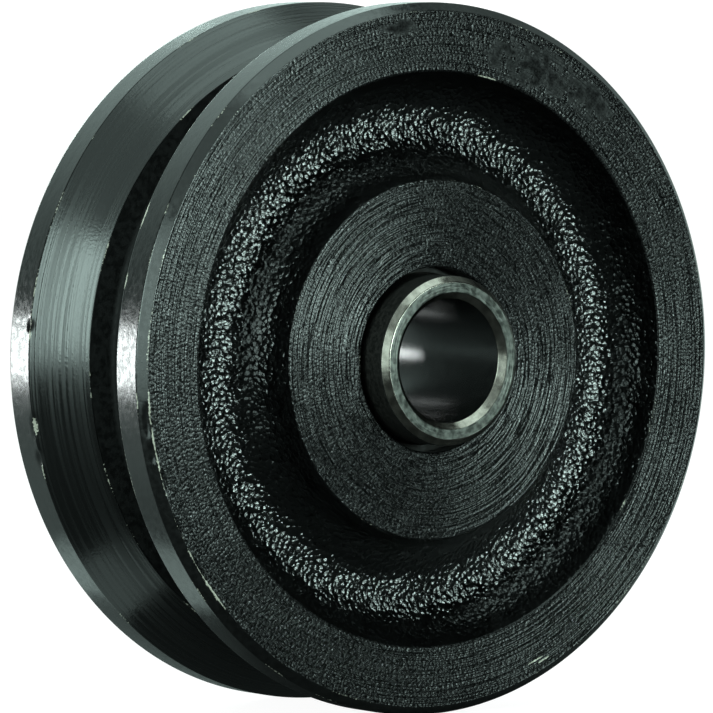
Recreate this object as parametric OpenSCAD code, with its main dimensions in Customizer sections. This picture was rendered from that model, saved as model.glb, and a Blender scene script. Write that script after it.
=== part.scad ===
// Gate wheel with a V groove, turning on two ball bearings around a fixed axle sleeve.
// The spin axis is Y. The front face, with the hub's lip, looks along -Y. The origin is the wheel's centre.

/* [Wheel] */
// Outside diameter across the two running lands
wheel_d = 105; // [96:1:150]
// Width from rim face to rim face
wheel_w = 35; // [32:0.5:60]
// Bevel between a land and its rim face
rim_bevel = 1.25; // [0.5:0.05:3]
// Radial width of the rim, from the lands in to the recess
rim_t = 10.1; // [7:0.1:12]
// Diameter of the hub's face
hub_d = 53; // [48:0.5:58]

/* [Rail groove] */
// Width of the groove at the lands
mouth_w = 22.8; // [16:0.2:26]
// Angle between the groove's two walls
groove_angle = 100; // [90:1:120]
// Width of the relief slot at the groove's root
slot_w = 8.6; // [5:0.1:12]
// Depth of the relief slot below the groove's walls
slot_depth = 4.2; // [2:0.1:6]

/* [Face recess] */
// Depth of the cast recess in each face
recess_depth = 8; // [3:0.25:9]
// Radius between the recess's floor and its walls
recess_fillet = 7; // [1.5:0.25:7.25]
// Draft of the recess's walls
recess_draft = 12; // [4:1:20]

/* [Axle sleeve] */
// Diameter of the axle that the sleeve takes
axle_d = 18; // [12:0.5:19]
// Radial clearance between axle and sleeve
axle_clearance = 0.1; // [0.06:0.01:0.4]
// Outside diameter of the sleeve, and bore of the bearings
sleeve_d = 25; // [24:0.1:26]
// Length of sleeve that stands out of each face
sleeve_reach = 4.25; // [2:0.25:10]
// Chamfer around the sleeve's ends
sleeve_chamfer = 0.9; // [0.3:0.1:1.2]
// Chamfer at the bore's ends
bore_chamfer = 1; // [0.3:0.1:1.2]

/* [Hub bore] */
// Thickness of the lip that closes the hub's front
lip_t = 3.5; // [2.5:0.25:6]
// Radial gap between the lip and the sleeve
lip_gap = 1.15; // [0.6:0.05:1.6]
// Radial width of the lip's shoulder behind the outer ring
shoulder_w = 1.8; // [1.2:0.1:2.2]
// Depth of the relief that keeps the lip off the inner ring
relief_depth = 1; // [0.5:0.1:1.5]
// Chamfer at the hub bore's two mouths
mouth_chamfer = 0.4; // [0.2:0.05:0.8]

/* [Bearings] */
// Outside diameter of a bearing
bearing_d = 42; // [40:0.25:44]
// Width of a bearing
bearing_w = 9; // [8:0.25:11]
// Diameter of a ball as a share of the height between sleeve and hub bore
ball_share = 0.65; // [0.55:0.01:0.68]
// Balls in a bearing
ball_count = 10; // [7:1:11]
// Gap between a ball and each race
race_play = 0.05; // [0.03:0.01:0.1]
// Radius of a race's groove as a share of the ball's diameter
race_conformity = 0.52; // [0.51:0.005:0.54]
// Radial opening between the two rings' lands as a share of the same height
opening_share = 0.35; // [0.3:0.01:0.4]
// Chamfer on the rings' corners
ring_chamfer = 0.3; // [0.1:0.05:0.5]

/* [Cages and shields] */
// Thickness of the cage's sheet
cage_t = 0.4; // [0.25:0.05:0.6]
// Radial gap between the cage and the rings' lands
cage_gap = 0.4; // [0.2:0.05:0.5]
// Axial gap between the cage and a shield with the largest balls the width takes
cage_room = 0.3; // [0.2:0.05:0.5]
// Gap between a ball and its cage pocket
pocket_play = 0.1; // [0.05:0.01:0.2]
// Diameter of a cage rivet
rivet_d = 0.9; // [0.6:0.1:1]
// Diameter of a rivet's heads
rivet_head_d = 1.5; // [1.1:0.1:1.7]
// Height of a rivet's heads
rivet_head_h = 0.35; // [0.2:0.05:0.6]
// Thickness of a shield
shield_t = 0.35; // [0.2:0.05:0.5]
// Depth of a shield below the rings' faces
shield_inset = 0.3; // [0.2:0.05:0.4]
// Radial gap between a shield and the inner ring
shield_gap = 0.2; // [0.1:0.05:0.4]
// Depth to which a shield is let into the outer ring
shield_lap = 0.8; // [0.4:0.1:1]

/* [Spacer and retaining ring] */
// Radial thickness of the spacer
spacer_t = 2; // [1:0.1:2.5]
// Thickness of the retaining ring
clip_t = 1.75; // [1:0.05:2]
// Depth of the retaining ring below the hub's rear face
clip_inset = 2; // [1.5:0.25:3]
// Depth of the retaining ring's groove in the hub bore
clip_bite = 1.25; // [0.8:0.05:1.5]
// Axial slack of the retaining ring in its groove
clip_play = 0.1; // [0.05:0.01:0.2]
// Radial width of the retaining ring opposite its gap
clip_back_w = 3.8; // [3:0.1:4.2]
// Radial width of the retaining ring beside its lugs
clip_end_w = 2.6; // [2:0.1:3]
// Gap between the retaining ring's two lugs
clip_gap = 7; // [4:0.5:10]
// Radius of a lug
lug_r = 2.4; // [2:0.1:2.6]
// Diameter of a lug's plier hole
lug_hole_d = 2.2; // [1.5:0.1:2.6]

/* [Hidden] */
$fn = 96;
wheel_r = wheel_d / 2;
face_z = wheel_w / 2;
rim_r = wheel_r - rim_t;
hub_r = hub_d / 2;
groove_r = wheel_r - (mouth_w - slot_w) / 2 / tan(groove_angle / 2);
slot_r = groove_r - slot_depth;
sleeve_r = sleeve_d / 2;
bore_r = axle_d / 2 + axle_clearance;
sleeve_z = face_z + sleeve_reach;
lip_r = sleeve_r + lip_gap;
bearing_r = bearing_d / 2;
relief_r = bearing_r - shoulder_w;
seat_z = lip_t - face_z;
clip_z = face_z - clip_inset - clip_t;
clip_r = bearing_r + clip_bite;
front_z = seat_z + bearing_w / 2;
rear_z = clip_z - bearing_w / 2;
ring_h = bearing_r - sleeve_r;
ball_room = bearing_w - 2 * (shield_inset + shield_t + cage_room + cage_t + pocket_play);
ball_d = min(ball_share * ring_h, ball_room);
ball_r = ball_d / 2;
pitch_r = (sleeve_r + bearing_r) / 2;
ring_opening = opening_share * ring_h;
outer_land_r = pitch_r + ring_opening / 2;
inner_land_r = pitch_r - ring_opening / 2;
cage_w = ring_opening - 2 * cage_gap;
pocket_r = ball_r + pocket_play;
ball_step = 360 / ball_count;
eps = 0.01;

SIDES = ["front", "rear"];
BEARING_PIECES = [
    "outer_ring", "inner_ring", "inboard_cage", "outboard_cage", "cage_rivets",
    "inboard_shield", "outboard_shield",
    for (i = [1:ball_count]) str("ball_", i)
];

// Turns a shape built around Z so that its axis is Y, the wheel's spin axis
module about_axle() {
    rotate([-90, 0, 0]) children();
}

// Moves a bearing's piece to its seat, with the piece's +Z side facing out of the wheel
module in_bearing(side) {
    about_axle() translate([0, 0, side == "front" ? front_z : rear_z])
        mirror([0, 0, side == "front" ? 1 : 0]) children();
}

// Repeats a shape at each ball's place, or midway between balls
module at_balls(shift = 0) {
    for (i = [1:ball_count]) rotate([0, 0, (i + shift) * ball_step]) translate([pitch_r, 0, 0]) children();
}

// A ring between two radii and two heights
module tube(r_in, r_out, low, high) {
    translate([0, 0, low]) difference() {
        cylinder(r = r_out, h = high - low);
        translate([0, 0, -eps]) cylinder(r = r_in, h = high - low + 2 * eps);
    }
}

// Half section of the recess in the face at +face_z: drafted walls that run into the floor in an arc
module recess_section() {
    half_w = 0.48 * (rim_r - hub_r);
    widest = (half_w * cos(recess_draft) - recess_depth * sin(recess_draft)) / (1 - sin(recess_draft));
    fillet = min(recess_fillet, recess_depth * 0.9, widest);
    inset = (fillet + (recess_depth - fillet) * sin(recess_draft)) / cos(recess_draft);
    floor_z = face_z - recess_depth;
    tangent = fillet * [cos(recess_draft), -sin(recess_draft)];
    rim_arc = [rim_r - inset, floor_z + fillet];
    hub_arc = [hub_r + inset, floor_z + fillet];
    polygon([
        [rim_r, face_z + 1], [rim_r, face_z], rim_arc + tangent, rim_arc - [0, fillet],
        hub_arc - [0, fillet], hub_arc + [-tangent.x, tangent.y], [hub_r, face_z], [hub_r, face_z + 1]
    ]);
    translate(rim_arc) circle(r = fillet);
    translate(hub_arc) circle(r = fillet);
}

// Half section of the wheel: rim, groove and slot outside, lip, bearing seat and clip groove inside
module wheel_section() {
    polygon([
        [lip_r + mouth_chamfer, -face_z], [wheel_r - rim_bevel, -face_z], [wheel_r, rim_bevel - face_z],
        [wheel_r, -mouth_w / 2], [groove_r, -slot_w / 2], [slot_r, -slot_w / 2],
        [slot_r, slot_w / 2], [groove_r, slot_w / 2], [wheel_r, mouth_w / 2],
        [wheel_r, face_z - rim_bevel], [wheel_r - rim_bevel, face_z], [bearing_r + mouth_chamfer, face_z],
        [bearing_r, face_z - mouth_chamfer], [bearing_r, clip_z + clip_t + clip_play],
        [clip_r, clip_z + clip_t + clip_play], [clip_r, clip_z], [bearing_r, clip_z],
        [bearing_r, seat_z], [relief_r, seat_z], [relief_r, seat_z - relief_depth],
        [lip_r, seat_z - relief_depth], [lip_r, mouth_chamfer - face_z]
    ]);
}

// Cast-iron wheel, painted black
module wheel_casting() {
    color("#232624") about_axle() rotate_extrude() difference() {
        wheel_section();
        recess_section();
        mirror([0, 1]) recess_section();
    }
}

// Steel sleeve that is clamped on the axle and carries both inner rings
module axle_sleeve() {
    color("#9a9186") about_axle() rotate_extrude() polygon([
        [bore_r + bore_chamfer, -sleeve_z], [sleeve_r - sleeve_chamfer, -sleeve_z],
        [sleeve_r, sleeve_chamfer - sleeve_z], [sleeve_r, sleeve_z - sleeve_chamfer],
        [sleeve_r - sleeve_chamfer, sleeve_z], [bore_r + bore_chamfer, sleeve_z],
        [bore_r, sleeve_z - bore_chamfer], [bore_r, bore_chamfer - sleeve_z]
    ]);
}

// Ring that holds the two outer rings apart
module bearing_spacer() {
    color("#6f7376") about_axle()
        tube(bearing_r - spacer_t, bearing_r, front_z + bearing_w / 2, rear_z - bearing_w / 2);
}

// Outline of the retaining ring: widest opposite the gap, with a lug and a plier hole at each end
module clip_outline() {
    ring_shift = (clip_back_w - clip_end_w) / 2;
    ring_hole_r = clip_r - (clip_back_w + clip_end_w) / 2;
    lug_x = clip_gap / 2 + lug_r;
    lug_y = sqrt(pow(clip_r - lug_r - clip_bite, 2) - pow(lug_x, 2));
    difference() {
        union() {
            difference() {
                circle(r = clip_r);
                translate([0, ring_shift]) circle(r = ring_hole_r);
            }
            intersection() {
                circle(r = clip_r);
                for (s = [-1, 1]) translate([s * lug_x, lug_y]) {
                    circle(r = lug_r);
                    translate([-lug_r, 0]) square([2 * lug_r, clip_r]);
                }
            }
        }
        for (s = [-1, 1]) translate([s * lug_x, lug_y]) circle(d = lug_hole_d);
        translate([-clip_gap / 2, 0]) square([clip_gap, clip_r + 1]);
    }
}

// Internal snap ring that keeps the bearings in the hub
module retaining_ring() {
    color("#3c3f41") about_axle() translate([0, 0, clip_z]) linear_extrude(clip_t) clip_outline();
}

// Outer bearing ring, with its race and a step at each side for a shield
module outer_ring() {
    groove = race_conformity * ball_d;
    half_w = bearing_w / 2;
    step_r = outer_land_r + shield_lap;
    step_z = half_w - shield_inset - shield_t;
    color("#b9bcbe") rotate_extrude() difference() {
        polygon([
            [outer_land_r, -step_z], [step_r, -step_z], [step_r, -half_w], [bearing_r - ring_chamfer, -half_w],
            [bearing_r, ring_chamfer - half_w], [bearing_r, half_w - ring_chamfer],
            [bearing_r - ring_chamfer, half_w], [step_r, half_w], [step_r, step_z], [outer_land_r, step_z]
        ]);
        translate([pitch_r + ball_r + race_play - groove, 0]) circle(r = groove);
    }
}

// Inner bearing ring, pressed on the sleeve
module inner_ring() {
    groove = race_conformity * ball_d;
    half_w = bearing_w / 2;
    color("#b9bcbe") rotate_extrude() difference() {
        polygon([
            [sleeve_r + ring_chamfer, -half_w], [inner_land_r, -half_w], [inner_land_r, half_w],
            [sleeve_r + ring_chamfer, half_w], [sleeve_r, half_w - ring_chamfer], [sleeve_r, ring_chamfer - half_w]
        ]);
        translate([pitch_r - ball_r - race_play + groove, 0]) circle(r = groove);
    }
}

// One pressed half of the cage: a flat ring that bulges over each ball, on the +Z side
module cage_half() {
    color("#a8894a") difference() {
        intersection() {
            tube(pitch_r - cage_w / 2, pitch_r + cage_w / 2, 0, pocket_r + cage_t);
            union() {
                cylinder(r = bearing_r, h = cage_t);
                at_balls() sphere(r = pocket_r + cage_t);
            }
        }
        at_balls() sphere(r = pocket_r);
        at_balls(0.5) translate([0, 0, -eps]) cylinder(d = rivet_d, h = cage_t + 2 * eps);
    }
}

// Rivets that join the two cage halves between the balls
module cage_rivets() {
    head_z = cage_t + rivet_head_h;
    color("#c2c4c6") at_balls(0.5) {
        translate([0, 0, -head_z]) cylinder(d = rivet_d, h = 2 * head_z);
        for (z = [-head_z, cage_t]) translate([0, 0, z]) cylinder(d = rivet_head_d, h = rivet_head_h);
    }
}

// Pressed sheet shield in the outer ring's step, on the +Z side
module shield() {
    top = bearing_w / 2 - shield_inset;
    color("#8e9294") tube(inner_land_r + shield_gap, outer_land_r + shield_lap, top - shield_t, top);
}

// One bearing ball
module ball(i) {
    color("#d2d5d7") rotate([0, 0, i * ball_step]) translate([pitch_r, 0, 0]) sphere(r = ball_r);
}

wheel_casting();
axle_sleeve();
bearing_spacer();
retaining_ring();
for (side = SIDES) {
    in_bearing(side) outer_ring();
    in_bearing(side) inner_ring();
    in_bearing(side) mirror([0, 0, 1]) cage_half();
    in_bearing(side) cage_half();
    in_bearing(side) cage_rivets();
    in_bearing(side) mirror([0, 0, 1]) shield();
    in_bearing(side) shield();
    for (i = [1:ball_count])
        in_bearing(side) ball(i);
}
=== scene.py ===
from itertools import product

import bpy
import numpy as np
from mathutils import Matrix, Vector


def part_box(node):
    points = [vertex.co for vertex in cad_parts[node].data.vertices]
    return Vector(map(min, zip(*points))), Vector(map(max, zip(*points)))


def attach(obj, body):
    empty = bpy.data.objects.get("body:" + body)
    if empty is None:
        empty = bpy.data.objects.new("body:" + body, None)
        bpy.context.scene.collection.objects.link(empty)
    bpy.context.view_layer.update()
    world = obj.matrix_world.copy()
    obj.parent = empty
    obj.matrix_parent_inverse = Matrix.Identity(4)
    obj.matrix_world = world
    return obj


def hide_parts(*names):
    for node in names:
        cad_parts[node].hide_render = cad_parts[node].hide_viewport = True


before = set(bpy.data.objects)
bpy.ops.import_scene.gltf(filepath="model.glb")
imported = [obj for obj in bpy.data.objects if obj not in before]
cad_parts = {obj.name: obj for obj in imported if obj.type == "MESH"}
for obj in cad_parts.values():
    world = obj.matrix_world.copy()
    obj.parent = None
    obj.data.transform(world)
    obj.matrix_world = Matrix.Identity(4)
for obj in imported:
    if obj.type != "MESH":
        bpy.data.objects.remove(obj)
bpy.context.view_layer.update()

# Axle sleeve: a length of steel tube, turned bright and chamfered inside and out at both ends. It is clamped
# between the cheeks of the gate's wheel box, with the axle through it, and doesn't turn. Its bore and its
# side within the hub's lip are painted near black, as painted shade, and its end faces are painted darker
# than its chamfers, as painted shade on the same steel.


def cad_box(node):
    """The low and the high corner of a CAD piece's box, in millimetres."""
    return [1000 * Vector(corner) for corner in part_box(node)]


def rounded_section(corners):
    """Points, outward normals and finishes along a closed half section with rounded corners.

    A corner is (distance from the axle, place along it, corner radius, step, finish), in millimetres. Step
    and finish belong to the stretch that follows the corner.
    """
    # A row of points this near to each corner keeps the stretch beside it flat in the shading
    edge_row = 0.08
    spots = np.array([corner[:2] for corner in corners])
    along = np.roll(spots, -1, axis=0) - spots
    lengths = np.linalg.norm(along, axis=1)
    along /= lengths[:, None]
    before = np.roll(along, 1, axis=0)
    cross = before[:, 0] * along[:, 1] - before[:, 1] * along[:, 0]
    turns = np.arctan2(cross, (before * along).sum(axis=1))
    cut = np.array([corner[2] for corner in corners]) * np.tan(abs(turns) / 2)
    points, finishes = [], []
    for k, (_, _, corner_r, step, stretch_finish) in enumerate(corners):
        inward = np.sign(turns[k]) * corner_r * np.array([-before[k, 1], before[k, 0]])
        middle = spots[k] - cut[k] * before[k] + inward
        pieces = max(3, int(np.ceil(corner_r * abs(turns[k]) / step)))
        for bend in np.linspace(0, turns[k], pieces + 1):
            spin = np.array([[np.cos(bend), -np.sin(bend)], [np.sin(bend), np.cos(bend)]])
            points.append(middle - spin @ inward)
        end = lengths[k] - cut[(k + 1) % len(corners)]
        near = min(edge_row, (end - cut[k]) / 4)
        stops = np.linspace(cut[k] + near, end - near, max(2, int(np.ceil((end - cut[k]) / step))))
        points.extend(spots[k] + stop * along[k] for stop in stops)
        finishes += [stretch_finish] * (len(points) - len(finishes))
    points = np.array(points)
    ahead = np.roll(points, -1, axis=0) - points
    ahead /= np.linalg.norm(ahead, axis=1)[:, None]
    ahead += np.roll(ahead, 1, axis=0)
    ahead /= np.linalg.norm(ahead, axis=1)[:, None]
    return points, np.stack([ahead[:, 1], -ahead[:, 0]], axis=1), np.array(finishes)


def turned(name, section, finishes, steps, lift=0.0):
    """A piece turned about the axle from a rounded half section, lifted off it along its normals."""
    points, normals, finish_index = section
    turn = np.arange(steps) * 2 * np.pi / steps
    lift = np.broadcast_to(lift, (len(points), steps))
    flat = points[:, None, :] + normals[:, None, :] * lift[..., None]
    spots = np.stack([flat[..., 0] * np.cos(turn), flat[..., 1], flat[..., 0] * np.sin(turn)], axis=-1)
    here = np.arange(spots[..., 0].size).reshape(spots.shape[:2])
    after = np.roll(here, -1, axis=0)
    quads = np.stack([here, after, np.roll(after, -1, axis=1), np.roll(here, -1, axis=1)], axis=-1)
    mesh = bpy.data.meshes.new(name)
    mesh.from_pydata((spots.reshape(-1, 3) / 1000).tolist(), [], quads.reshape(-1, 4).tolist())
    for material in finishes:
        mesh.materials.append(material)
    mesh.polygons.foreach_set("material_index", np.repeat(finish_index, steps).astype(np.int32))
    mesh.shade_smooth()
    piece = bpy.data.objects.new(name, mesh)
    bpy.context.scene.collection.objects.link(piece)
    return piece


def shader(tree, kind, inputs=None, **settings):
    """A new shader node. An input that is a socket is linked, and any other is set."""
    made = tree.nodes.new(kind)
    for key, value in settings.items():
        setattr(made, key, value)
    for key, value in (inputs or {}).items():
        if isinstance(value, bpy.types.NodeSocket):
            tree.links.new(value, made.inputs[key])
        else:
            made.inputs[key].default_value = value
    return made


def reckoned(tree, operation, first, second):
    """The result of a sum on two numbers, each a socket or fixed."""
    return shader(tree, "ShaderNodeMath", {0: first, 1: second}, operation=operation).outputs[0]


def vector(tree, operation, inputs, output="Vector"):
    """The result of a sum on vectors."""
    return shader(tree, "ShaderNodeVectorMath", inputs, operation=operation).outputs[output]


def ranged(tree, value, old, new=(0.0, 1.0)):
    """A value carried from its old range to a new one, and kept inside that."""
    ends = {"From Min": old[0], "From Max": old[1], "To Min": new[0], "To Max": new[1]}
    return shader(tree, "ShaderNodeMapRange", {"Value": value, **ends}).outputs["Result"]


def blended(tree, share, low, high):
    """A colour between two others, each a socket or fixed."""
    low, high = (c if isinstance(c, bpy.types.NodeSocket) else (*c, 1.0) for c in (low, high))
    return shader(tree, "ShaderNodeMix", {0: share, 6: low, 7: high}, data_type="RGBA").outputs[2]


def finish(name, tones, patch, gloss, marks=(), metal=0.0, shine=0.5, bare=None):
    """A finish with mottled tones from dark to light, in patches of a kind and size, and roughness to match.

    Marks are (kind, size, depth, detail), sizes in millimetres: rings are cut round the axle on a face, lines
    on a cylinder or cone, grain lies anywhere, and pebbles are domes. Where the attribute wear is high, bare
    colour shows with a ragged edge, and where it is below zero the paint is dull.
    """
    mottle_spread, bare_edge, dull_range = (0.38, 0.62), (0.95, 1.1), (0.0, -1.0)
    mottle_detail, ragged_size, ragged_detail = 2.0, 0.35, 3.0
    streaks_round_axle = {"rings": 3.0, "lines": 1.0}
    material = bpy.data.materials.new(name)
    material.use_nodes = True
    tree = material.node_tree
    surface = tree.nodes["Principled BSDF"]
    surface.inputs["Metallic"].default_value = metal
    surface.inputs["Specular IOR Level"].default_value = shine
    place = shader(tree, "ShaderNodeTexCoord").outputs["Object"]
    from_axle = vector(tree, "MULTIPLY", {0: place, 1: (1, 0, 1)})
    round_axle = vector(tree, "NORMALIZE", {0: from_axle})
    across = {
        "rings": vector(tree, "LENGTH", {0: from_axle}, "Value"),
        "lines": shader(tree, "ShaderNodeSeparateXYZ", {0: place}).outputs["Y"],
    }

    def noise(kind, size, detail):
        scale = 1000 / size
        if kind == "pebbles":
            far = shader(tree, "ShaderNodeTexVoronoi", {"Vector": place, "Scale": scale}).outputs["Distance"]
            return reckoned(tree, "SUBTRACT", 1.0, reckoned(tree, "POWER", far, 2.0))
        if kind == "grain":
            inputs = {"Vector": place, "Scale": scale, "Detail": detail}
        else:
            streak = vector(tree, "SCALE", {0: round_axle, "Scale": streaks_round_axle[kind]})
            row = reckoned(tree, "MULTIPLY", across[kind], scale)
            row_spot = shader(tree, "ShaderNodeCombineXYZ", {"Y": row}).outputs[0]
            inputs = {"Vector": vector(tree, "ADD", {0: streak, 1: row_spot}), "Scale": 1.0, "Detail": detail}
        return shader(tree, "ShaderNodeTexNoise", inputs).outputs["Fac"]

    normal = None
    for kind, size, depth, detail in marks:
        inputs = {"Height": noise(kind, size, detail), "Distance": depth / 1000, "Strength": 1.0}
        if normal:
            inputs["Normal"] = normal
        normal = shader(tree, "ShaderNodeBump", inputs).outputs["Normal"]
    if normal:
        tree.links.new(normal, surface.inputs["Normal"])
    mottle = ranged(tree, noise(*patch, mottle_detail), mottle_spread)
    colour = blended(tree, mottle, *tones)
    roughness = ranged(tree, mottle, (0.0, 1.0), gloss)
    if bare:
        wear = shader(tree, "ShaderNodeAttribute", attribute_name="wear").outputs["Fac"]
        ragged = reckoned(tree, "ADD", wear, noise("grain", ragged_size, ragged_detail))
        colour = blended(tree, ranged(tree, ragged, bare_edge), colour, bare)
        roughness = reckoned(tree, "MAXIMUM", roughness, ranged(tree, wear, dull_range))
    tree.links.new(colour, surface.inputs["Base Color"])
    tree.links.new(roughness, surface.inputs["Roughness"])
    return material


sleeve_low, sleeve_high = cad_box("axle_sleeve")
# The faceted CAD mesh is a little smaller to its left, and the turned one keeps inside it
sleeve_r, sleeve_end = -sleeve_low.x, sleeve_high.y
sleeve_bore_r = 9.1
end_chamfer, bore_chamfer = 0.9, 1.0
outer_edge, mouth_edge, bore_edge = 0.22, 0.18, 0.15
end_step, long_step = 0.5, 2.0
shaded_end, bright_chamfer, shaded_side, shaded_bore = range(4)
sleeve_section = rounded_section(
    [
        (sleeve_bore_r + bore_chamfer, -sleeve_end, mouth_edge, end_step, shaded_end),
        (sleeve_r - end_chamfer, -sleeve_end, outer_edge, end_step, bright_chamfer),
        (sleeve_r, end_chamfer - sleeve_end, outer_edge, long_step, shaded_side),
        (sleeve_r, sleeve_end - end_chamfer, outer_edge, end_step, bright_chamfer),
        (sleeve_r - end_chamfer, sleeve_end, outer_edge, end_step, shaded_end),
        (sleeve_bore_r + bore_chamfer, sleeve_end, mouth_edge, end_step, bright_chamfer),
        (sleeve_bore_r, sleeve_end - bore_chamfer, bore_edge, long_step, shaded_bore),
        (sleeve_bore_r, bore_chamfer - sleeve_end, bore_edge, end_step, bright_chamfer),
    ]
)
sleeve_steps = 360
sleeve_finishes = [
    # Painted shade: the end faces are darker than the chamfers of the same steel, for how the light falls on
    # them
    finish(
        "painted_shade_sleeve_end",
        tones=((0.032, 0.034, 0.031), (0.085, 0.088, 0.081)),
        patch=("grain", 0.9),
        gloss=(0.28, 0.4),
        marks=[("rings", 0.2, 0.05, 1.0), ("grain", 0.6, 0.012, 1.0)],
        metal=1.0,
    ),
    finish(
        "bright_sleeve_chamfer",
        tones=((0.15, 0.138, 0.122), (0.25, 0.23, 0.205)),
        patch=("grain", 1.5),
        gloss=(0.18, 0.26),
        marks=[("grain", 0.8, 0.01, 1.0)],
        metal=1.0,
    ),
    # Painted shade: near black for the shadow on the tube's side within the hub's lip
    finish(
        "painted_shade_sleeve_side",
        tones=((0.004, 0.004, 0.0035), (0.012, 0.011, 0.01)),
        patch=("grain", 0.5),
        gloss=(0.5, 0.6),
        shine=0.25,
    ),
    # Painted shade: near black for the shade deep inside the bore
    finish(
        "painted_shade_sleeve_bore",
        tones=((0.001, 0.0012, 0.0011), (0.004, 0.0045, 0.004)),
        patch=("grain", 1.2),
        gloss=(0.22, 0.25),
        marks=[("grain", 0.8, 0.004, 1.0)],
        shine=0.75,
    ),
]
sleeve = turned("sleeve", sleeve_section, sleeve_finishes, sleeve_steps)
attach(sleeve, "axle")
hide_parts("axle_sleeve")

# Ball bearings: two bought deep-groove bearings, pressed on the sleeve and into the hub. Ground rings and
# polished balls of bearing steel, cages pressed from sheet and riveted, and thin pressed shields in the outer
# rings. What looks out of the hub's front is painted near black, as painted shade for the deep shadow there.


def dress(nodes, material):
    """Gives CAD pieces their finish."""
    for node in nodes:
        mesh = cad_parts[node].data
        mesh.materials.clear()
        mesh.materials.append(material)


def both_bearings(*pieces):
    """The CAD names of these pieces in the front and rear bearing."""
    return [f"{side}_{piece}" for side in ("front", "rear") for piece in pieces]


ground_steel = finish(
    "ground_ring_steel",
    tones=((0.46, 0.47, 0.48), (0.54, 0.55, 0.56)),
    patch=("grain", 1.5),
    gloss=(0.2, 0.32),
    marks=[("rings", 0.12, 0.002, 1.0)],
    metal=1.0,
)
ball_steel = finish(
    "polished_ball_steel",
    tones=((0.62, 0.63, 0.64), (0.72, 0.73, 0.74)),
    patch=("grain", 2.0),
    gloss=(0.06, 0.1),
    metal=1.0,
)
cage_steel = finish(
    "pressed_cage_steel",
    tones=((0.34, 0.31, 0.25), (0.5, 0.46, 0.38)),
    patch=("grain", 1.0),
    gloss=(0.3, 0.45),
    marks=[("grain", 0.5, 0.006, 1.0)],
    metal=1.0,
)
shield_steel = finish(
    "pressed_shield_steel",
    tones=((0.35, 0.36, 0.37), (0.43, 0.44, 0.45)),
    patch=("grain", 2.5),
    gloss=(0.3, 0.42),
    marks=[("grain", 0.3, 0.004, 1.0)],
    metal=1.0,
)
# Painted shade: near black for the deep shadow on the front bearing's outboard shield and rings
painted_shade_front_bearing = finish(
    "painted_shade_front_bearing",
    tones=((0.003, 0.003, 0.002), (0.008, 0.007, 0.006)),
    patch=("grain", 1.5),
    gloss=(0.5, 0.7),
    marks=[("grain", 0.8, 0.05, 1.0)],
    shine=0.2,
)
ball_count = 10
dress(both_bearings(*(f"ball_{number}" for number in range(1, ball_count + 1))), ball_steel)
dress(both_bearings("inboard_cage", "outboard_cage", "cage_rivets"), cage_steel)
dress(["front_outboard_shield", "front_inner_ring", "front_outer_ring"], painted_shade_front_bearing)
dress(["rear_inner_ring", "rear_outer_ring"], ground_steel)
dress(["front_inboard_shield", "rear_inboard_shield", "rear_outboard_shield"], shield_steel)

# Spacer and retaining ring: a plain turned ring keeps the bearings apart in the hub, and a snap ring stamped
# from spring steel and phosphated dark holds them in from the rear.
spacer_steel = finish(
    "turned_spacer_steel",
    tones=((0.22, 0.23, 0.24), (0.36, 0.37, 0.38)),
    patch=("grain", 1.5),
    gloss=(0.35, 0.5),
    marks=[("lines", 0.3, 0.006, 1.0)],
    metal=1.0,
)
spring_steel = finish(
    "phosphated_spring_steel",
    tones=((0.016, 0.016, 0.018), (0.05, 0.05, 0.054)),
    patch=("grain", 0.8),
    gloss=(0.4, 0.55),
    marks=[("grain", 0.25, 0.01, 1.0)],
)
dress(["bearing_spacer"], spacer_steel)
dress(["retaining_ring"], spring_steel)

# Wheel: grey cast iron, turned on the rim, the groove and both faces, left as cast in the two recesses, and
# sprayed black all over. The paint is thin on the turned faces and chipped along their edges.


def lumps(spots, size, seed):
    """Smooth noise from -1 to 1 in lumps of that size."""
    lattice_n = 64
    lattice = np.random.default_rng(seed).uniform(-1, 1, (lattice_n, lattice_n, lattice_n))
    cells = spots / size
    low = np.floor(cells).astype(int)
    part = cells - low
    part = part**3 * (part * (part * 6 - 15) + 10)
    total = np.zeros(spots.shape[:-1])
    for corner in product((0, 1), repeat=3):
        weight = np.where(corner, part, 1 - part).prod(axis=-1)
        total += weight * lattice[tuple(np.moveaxis((low + corner) % lattice_n, -1, 0))]
    return total


wheel_low, wheel_high = cad_box("wheel_casting")
wheel_r, face = -wheel_low.x, wheel_high.y
rim_bevel, rim_t = 1.25, 10.1
rim_r, hub_r = wheel_high.x - rim_t, 26.5
recess_depth, recess_fillet, recess_draft = 8.0, 7.0, np.tan(np.radians(12))
recess_floor = face - recess_depth
hub_foot, rim_foot = hub_r + recess_depth * recess_draft, rim_r - recess_depth * recess_draft
# Half the groove's width at the lands, half the angle between its walls, and its slot's half width and depth
mouth, groove_half_angle, slot_edge, slot_depth = 11.4, np.radians(50), 4.3, 4.2
groove_r = wheel_high.x - (mouth - slot_edge) / np.tan(groove_half_angle)
slot_r = groove_r - slot_depth
front_ring_low, _ = cad_box("front_outer_ring")
seat_r, seat_end = -front_ring_low.x, front_ring_low.y
lip_gap, shoulder_w, relief_depth = 1.15, 1.8, 1.0
lip_r, relief_r, relief_end = sleeve_high.x + lip_gap, seat_r - shoulder_w, seat_end - relief_depth
clip_low, clip_high = cad_box("retaining_ring")
clip_play = 0.1
clip_r, clip_front, clip_rear = clip_high.z, clip_low.y, clip_high.y + clip_play
tool_edge = 0.05
hub_face, rim_face, cast, land, groove, slot_wall, bored = range(7)
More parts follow.
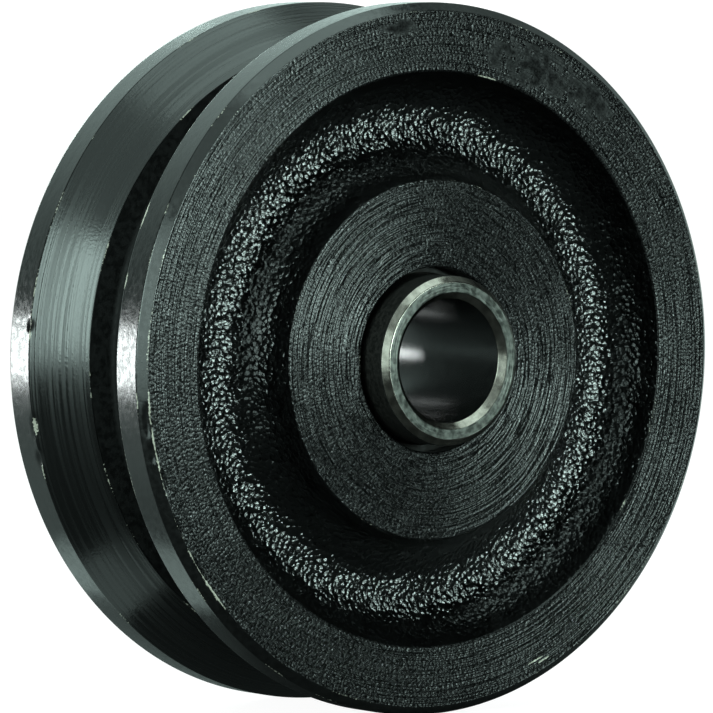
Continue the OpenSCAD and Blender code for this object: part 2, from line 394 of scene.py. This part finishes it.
# The front, which looks at the camera, has finer steps than the rear
wheel_corners = [
    (lip_r, -face, 0.3, 0.3, hub_face),
    (hub_r, -face, 0.2, 0.35, cast),
    (hub_foot, -recess_floor, recess_fillet, 0.35, cast),
    (rim_foot, -recess_floor, recess_fillet, 0.35, cast),
    (rim_r, -face, 0.35, 0.3, rim_face),
    (wheel_r - rim_bevel, -face, 0.12, 0.4, land),
    (wheel_r, rim_bevel - face, 0.25, 0.4, land),
    (wheel_r, -mouth, 0.25, 0.4, groove),
    (groove_r, -slot_edge, 0.25, 0.8, slot_wall),
    (slot_r, -slot_edge, 0.8, 0.8, slot_wall),
    (slot_r, slot_edge, 0.8, 0.8, slot_wall),
    (groove_r, slot_edge, 0.25, 0.4, groove),
    (wheel_r, mouth, 0.25, 0.4, land),
    (wheel_r, face - rim_bevel, 0.25, 0.4, land),
    (wheel_r - rim_bevel, face, 0.12, 0.7, rim_face),
    (rim_r, face, 0.2, 0.35, cast),
    (rim_foot, recess_floor, recess_fillet, 0.35, cast),
    (hub_foot, recess_floor, recess_fillet, 0.35, cast),
    (hub_r, face, 0.2, 0.7, hub_face),
    (seat_r, face, 0.35, 1.0, bored),
    (seat_r, clip_rear, tool_edge, 1.0, bored),
    (clip_r, clip_rear, tool_edge, 1.0, bored),
    (clip_r, clip_front, tool_edge, 1.0, bored),
    (seat_r, clip_front, tool_edge, 4.0, bored),
    (seat_r, seat_end, tool_edge, 1.0, bored),
    (relief_r, seat_end, tool_edge, 1.0, bored),
    (relief_r, relief_end, tool_edge, 1.5, bored),
    (lip_r, relief_end, tool_edge, 1.0, bored),
]
wheel_steps = 900
wheel_section = rounded_section(wheel_corners)
section_points, _, section_finish = wheel_section
wheel_turn = np.arange(wheel_steps) * 2 * np.pi / wheel_steps
wheel_spots = np.stack(
    [
        section_points[:, :1] * np.cos(wheel_turn),
        np.repeat(section_points[:, 1:], wheel_steps, axis=1),
        section_points[:, :1] * np.sin(wheel_turn),
    ],
    axis=-1,
)


def arc_from(angle, arc_r):
    """How far each step round the wheel lies from an angle in degrees, along an arc of that radius."""
    turn = (wheel_turn - np.radians(angle) + np.pi) % (2 * np.pi) - np.pi
    return turn * arc_r


# The recess keeps the lumps of the sand mould, which fade out towards its turned edges
small_lump, large_lump, skin_fade = 0.06, 0.1, 1.5
cast_skin = small_lump * lumps(wheel_spots, size=1.7, seed=3)
cast_skin += large_lump * lumps(wheel_spots, size=3.4, seed=4)
depth_in_recess = np.where(section_finish == cast, face - abs(section_points[:, 1]), 0)
wheel_lift = cast_skin * np.clip(depth_in_recess / skin_fade, 0, 1)[:, None]
# Paint has rubbed off the sharp edges here and there, and most where the rim's front edge was knocked
sharp_r, rub_width, rub_wear, rub_patches = 0.3, 0.2, 0.22, 0.45
knock_angle, knock_reach, knock_wear = 207.0, 22.0, 0.4
sharp = np.array([corner[:2] for corner in wheel_corners if corner[2] < sharp_r and corner[4] != bored])
from_edge = np.linalg.norm(section_points[:, None] - sharp, axis=-1).min(axis=1)
knocked = knock_wear * np.exp(-((arc_from(knock_angle, wheel_r) / knock_reach) ** 4))
at_corner = np.exp(-((section_points - (wheel_r - rim_bevel, -face)) ** 2).sum(axis=1))
rubbed = rub_wear + at_corner[:, None] * knocked + rub_patches * lumps(wheel_spots, size=4.0, seed=5)
rubbed *= np.exp(-((from_edge / rub_width) ** 2))[:, None]
# A chip: angle round the wheel, distance from the axle, place along it, half length, half width, depth, wear
chips = [
    (187.0, 51.4, -17.4, 1.6, 0.2, 0.0, 0.7),
    (191.0, 51.3, -17.5, 2.0, 0.18, 0.0, 0.7),
    (195.0, 51.2, -17.5, 1.6, 0.18, 0.0, 0.6),
    (188.0, 51.6, -17.2, 2.2, 0.5, 0.3, 0.0),
    (193.0, 51.5, -17.2, 1.5, 0.55, 0.3, 0.0),
    (198.0, 51.2, -17.4, 1.8, 0.45, 0.3, 0.0),
    (206.0, 51.3, -17.4, 1.4, 0.45, 0.25, 0.0),
    (214.0, 51.3, -17.4, 2.0, 0.5, 0.25, 0.0),
    (176.0, 51.3, -17.4, 4.5, 0.2, 0.0, 0.55),
    (155.0, 52.5, -11.5, 2.6, 0.35, 0.0, 0.75),
    (166.0, 52.5, -11.5, 1.6, 0.3, 0.0, 0.7),
    (174.0, 52.4, 11.5, 0.8, 0.4, 0.2, 0.0),
    (175.6, 52.4, 11.4, 0.5, 0.4, 0.0, 0.8),
    (190.2, 52.4, 11.3, 1.6, 0.6, 0.25, 0.75),
    (195.5, 52.4, 11.5, 1.2, 0.5, 0.3, 0.0),
    (65.0, 50.7, -17.5, 4.5, 0.3, 0.0, 0.6),
    (70.0, 50.0, -17.5, 2.5, 0.2, 0.0, 0.6),
    (77.0, 42.4, -17.5, 2.6, 0.25, 0.0, 0.7),
    (292.5, 49.4, -17.5, 2.2, 0.18, 0.0, 0.8),
    (294.0, 49.9, -17.5, 1.4, 0.15, 0.0, 0.8),
    (327.0, 42.4, -17.5, 1.6, 0.25, 0.0, 0.6),
    (346.0, 42.4, -17.5, 9.0, 0.2, 0.0, 0.5),
    (3.0, 52.2, -16.6, 3.0, 0.3, 0.0, 0.6),
    (352.0, 52.2, -16.6, 2.0, 0.25, 0.0, 0.6),
    (180.0, 13.7, -17.5, 3.0, 0.25, 0.0, 0.6),
]
for angle, chip_r, place, length, width, depth, wear in chips:
    off_chip = ((section_points - (chip_r, place)) ** 2).sum(axis=1) / width**2
    chip = np.exp(-(((arc_from(angle, chip_r) / length) ** 2 + off_chip[:, None]) ** 2))
    wheel_lift = wheel_lift - depth * chip
    rubbed = np.maximum(rubbed, wear * chip)
# A smudge on the front rim face: angle round the wheel, distance from the axle, half length, half width
smudges = [(68.0, 46.5, 9.0, 3.2), (52.0, 47.5, 4.0, 2.0), (98.0, 49.0, 3.0, 1.2)]
dullness, dull_patches = 0.85, 1.2
on_front = np.isclose(section_points[:, 1], -face, atol=0.01)
blotches = dullness + dull_patches * lumps(wheel_spots, size=0.9, seed=6)
for angle, smudge_r, length, width in smudges:
    off_smudge = np.where(on_front, ((section_points[:, 0] - smudge_r) / width) ** 2, np.inf)
    smudge = np.exp(-((arc_from(angle, smudge_r) / length) ** 2 + off_smudge[:, None]))
    rubbed = rubbed - smudge * blotches
bare_iron = (0.42, 0.4, 0.34)
wheel_paint = [
    finish(
        "paint_on_hub_face",
        tones=((0.0, 0.0, 0.0), (0.01, 0.01, 0.01)),
        patch=("grain", 0.3),
        gloss=(0.14, 0.28),
        marks=[("rings", 0.16, 0.05, 0.0), ("rings", 0.6, 0.2, 1.0), ("pebbles", 0.42, 0.026, 0.0)],
        shine=0.21,
        bare=bare_iron,
    ),
    finish(
        "paint_on_rim_face",
        tones=((0.0, 0.0, 0.0), (0.012, 0.012, 0.012)),
        patch=("grain", 0.3),
        gloss=(0.14, 0.28),
        marks=[("rings", 0.16, 0.06, 0.0), ("rings", 0.5, 0.12, 1.0), ("pebbles", 0.45, 0.045, 0.0)],
        shine=0.21,
        bare=bare_iron,
    ),
    finish(
        "paint_on_cast_recess",
        tones=((0.0005, 0.0005, 0.0005), (0.0015, 0.0015, 0.0015)),
        patch=("grain", 1.5),
        gloss=(0.12, 0.18),
        marks=[("pebbles", 0.75, 0.16, 0.0), ("grain", 0.4, 0.07, 1.0)],
        shine=0.4,
        bare=bare_iron,
    ),
    finish(
        "paint_on_lands",
        tones=((0.002, 0.002, 0.002), (0.005, 0.005, 0.005)),
        patch=("grain", 0.8),
        gloss=(0.16, 0.26),
        marks=[("lines", 0.4, 0.005, 1.0), ("grain", 1.6, 0.02, 2.0), ("grain", 0.35, 0.008, 1.0)],
        bare=bare_iron,
    ),
    finish(
        "paint_on_groove",
        tones=((0.002, 0.002, 0.002), (0.004, 0.004, 0.004)),
        patch=("lines", 0.4),
        gloss=(0.19, 0.34),
        marks=[("lines", 0.16, 0.015, 0.0), ("lines", 0.5, 0.028, 1.0), ("grain", 0.35, 0.015, 1.0)],
        bare=bare_iron,
    ),
    finish(
        "paint_in_slot",
        tones=((0.002, 0.002, 0.002), (0.006, 0.006, 0.006)),
        patch=("grain", 0.8),
        gloss=(0.6, 0.8),
        marks=[("grain", 0.5, 0.05, 1.0)],
        shine=0.2,
    ),
    finish(
        "bored_iron",
        tones=((0.006, 0.006, 0.0055), (0.02, 0.02, 0.019)),
        patch=("grain", 0.8),
        gloss=(0.4, 0.55),
        marks=[("lines", 0.4, 0.01, 1.0)],
    ),
]
wheel = turned("wheel_body", wheel_section, wheel_paint, wheel_steps, wheel_lift)
wheel.data.attributes.new("wear", "FLOAT", "POINT").data.foreach_set("value", rubbed.ravel())
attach(wheel, "wheel")
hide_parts("wheel_casting")

# Floor: a plain sheet of paper laid under the wheel, which runs white into the background and keeps the
# wheel's shadow. Mirrored in the paint, it glows behind the wheel alone.
floor_half, floor_glow = 40.0, 0.95
paper_tone, paper_roughness = (0.045, 0.045, 0.045, 1), 0.9
glow_start, mirrored_glow = (0.0, 0.08), (0.0, 0.5)
paper_white, cool_white = (1.0, 1.0, 1.0), (0.76, 1.0, 0.94)
floor_mesh = bpy.data.meshes.new("floor")
floor_mesh.from_pydata(
    [(x * floor_half, y * floor_half, wheel_low.z / 1000) for x, y in ((-1, -1), (1, -1), (1, 1), (-1, 1))],
    [],
    [(0, 1, 2, 3)],
)
floor = bpy.data.objects.new("floor", floor_mesh)
bpy.context.scene.collection.objects.link(floor)
floor_paper = bpy.data.materials.new("floor_paper")
floor_paper.use_nodes = True
paper_tree = floor_paper.node_tree
paper = paper_tree.nodes["Principled BSDF"]
paper.inputs["Base Color"].default_value = paper_tone
paper.inputs["Roughness"].default_value = paper_roughness
rays = shader(paper_tree, "ShaderNodeLightPath").outputs
floor_spot = shader(paper_tree, "ShaderNodeTexCoord").outputs["Object"]
far_back = shader(paper_tree, "ShaderNodeSeparateXYZ", {0: floor_spot}).outputs["Y"]
glow_behind = ranged(paper_tree, far_back, glow_start, mirrored_glow)
mirrored = reckoned(paper_tree, "MULTIPLY", rays["Is Glossy Ray"], glow_behind)
shown = reckoned(paper_tree, "MAXIMUM", rays["Is Camera Ray"], mirrored)
glow_strength = reckoned(paper_tree, "MULTIPLY", shown, floor_glow)
glow_colour = blended(paper_tree, rays["Is Camera Ray"], cool_white, paper_white)
glow = shader(paper_tree, "ShaderNodeEmission", {"Color": glow_colour, "Strength": glow_strength})
lit_paper = shader(paper_tree, "ShaderNodeAddShader", {0: paper.outputs[0], 1: glow.outputs[0]})
paper_tree.links.new(lit_paper.outputs[0], paper_tree.nodes["Material Output"].inputs["Surface"])
floor_mesh.materials.append(floor_paper)

# Camera: stands to the left of the axle and a little above it, with a long lens, as in the photograph. Its
# place is set off from the middle of the wheel's front face, in metres.
camera_azimuth, camera_elevation = np.radians(-36.48), np.radians(3.35)
camera_distance, camera_left, camera_up = 0.9, 0.0116, 0.00047
camera_lens, camera_sensor = 309.14, 36
right = Vector((np.cos(camera_azimuth), np.sin(camera_azimuth), 0))
level_back = Vector((np.sin(camera_azimuth), -np.cos(camera_azimuth), 0))
back = level_back * np.cos(camera_elevation) + Vector((0, 0, np.sin(camera_elevation)))
up = back.cross(right)
camera_data = bpy.data.cameras.new("camera")
camera_data.lens = camera_lens
camera_data.sensor_width = camera_sensor
camera = bpy.data.objects.new("camera", camera_data)
camera_place = back * camera_distance - right * camera_left + up * camera_up - Vector((0, face / 1000, 0))
camera.matrix_world = Matrix.Translation(camera_place) @ Matrix((right, up, back)).transposed().to_4x4()
bpy.context.scene.collection.objects.link(camera)
bpy.context.scene.camera = camera

# Studio light: white paper behind the wheel, a strip at the rear left that shines off both lands, a tilted
# strip and a small lamp in front that sparkle in the recess, and soft boxes and cards at the sides and above.


def lamp(name, direction, distance, width, height, radiance, colour=cool_white, faces=None, roll=0.0):
    """A soft lamp in that direction from the wheel, turned towards it or the way it faces, in metres.

    Roll turns the lamp about its own beam, in degrees.
    """
    data = bpy.data.lights.new(name, "AREA")
    data.shape = "RECTANGLE"
    data.size, data.size_y = width, height
    data.energy = radiance * np.pi * width * height
    data.color = colour
    made = bpy.data.objects.new(name, data)
    aim = Vector(direction).normalized()
    away = -Vector(faces) if faces else aim
    turn = away.to_track_quat("Z", "Y").to_matrix().to_4x4() @ Matrix.Rotation(np.radians(roll), 4, "Z")
    made.matrix_world = Matrix.Translation(aim * distance) @ turn
    made.visible_camera = False
    bpy.context.scene.collection.objects.link(made)


lamp("rear_strip", (-0.64, 0.768, -0.015), 0.4, 0.048, 0.08, 29, colour=(0.93, 1.0, 0.99))
lamp("left_panel", (-0.183, -0.061, 0.047), 0.1985, 0.05, 0.11, 11)
lamp("left_card", (-0.149, -0.106, 0.033), 0.186, 0.06, 0.13, 2.8)
lamp("left_wall", (-0.78, -0.6, 0.2), 0.9, 0.5, 0.7, 0.35)
lamp("upper_left_box", (-0.5, -0.36, 0.78), 0.8, 0.5, 0.5, 1.1)
lamp("top_box", (0.09, -0.22, 0.95), 0.8, 0.62, 0.45, 3.2)
lamp("front_strip", (0.287, -0.956, 0.06), 0.6, 0.253, 0.08, 36, roll=-19.5)
lamp("upper_front_lamp", (0.393, -0.871, 0.293), 0.6, 0.1, 0.1, 22)
lamp("back_lamp", (0.3, 0.92, 0.25), 0.7, 0.2, 0.2, 12)
lamp("right_box", (0.98, 0.06, 0.02), 0.8, 0.35, 0.35, 2.2)
lamp("floor_card", (-0.048, 0.026, -0.0515), 0.075, 0.018, 0.055, 1.0, faces=(0, 0, 1))
world = bpy.data.worlds.new("studio")
bpy.context.scene.world = world
world.use_nodes = True
studio = world.node_tree
sky = studio.nodes["Background"]
way = shader(studio, "ShaderNodeTexCoord").outputs["Generated"]
behind = (-back.x, -back.y, 0.0)
facing = vector(studio, "DOT_PRODUCT", {0: way, 1: behind}, "Value")
rightward = shader(studio, "ShaderNodeSeparateXYZ", {0: way}).outputs["X"]
# The paper fades from bright to dim away from the middle, and sooner at its right end
paper_glow = ranged(studio, facing, (0.25, 0.62), (0.01, 1.3))
paper_end = ranged(studio, rightward, (0.62, 0.76), (1.0, 0.3))
paper_light = reckoned(studio, "MULTIPLY", paper_glow, paper_end)
by_camera = shader(studio, "ShaderNodeLightPath").outputs["Is Camera Ray"]
sky_strength = reckoned(studio, "MAXIMUM", by_camera, paper_light)
studio.links.new(blended(studio, by_camera, cool_white, paper_white), sky.inputs["Color"])
studio.links.new(sky_strength, sky.inputs["Strength"])
bpy.context.scene.view_settings.view_transform = "Standard"
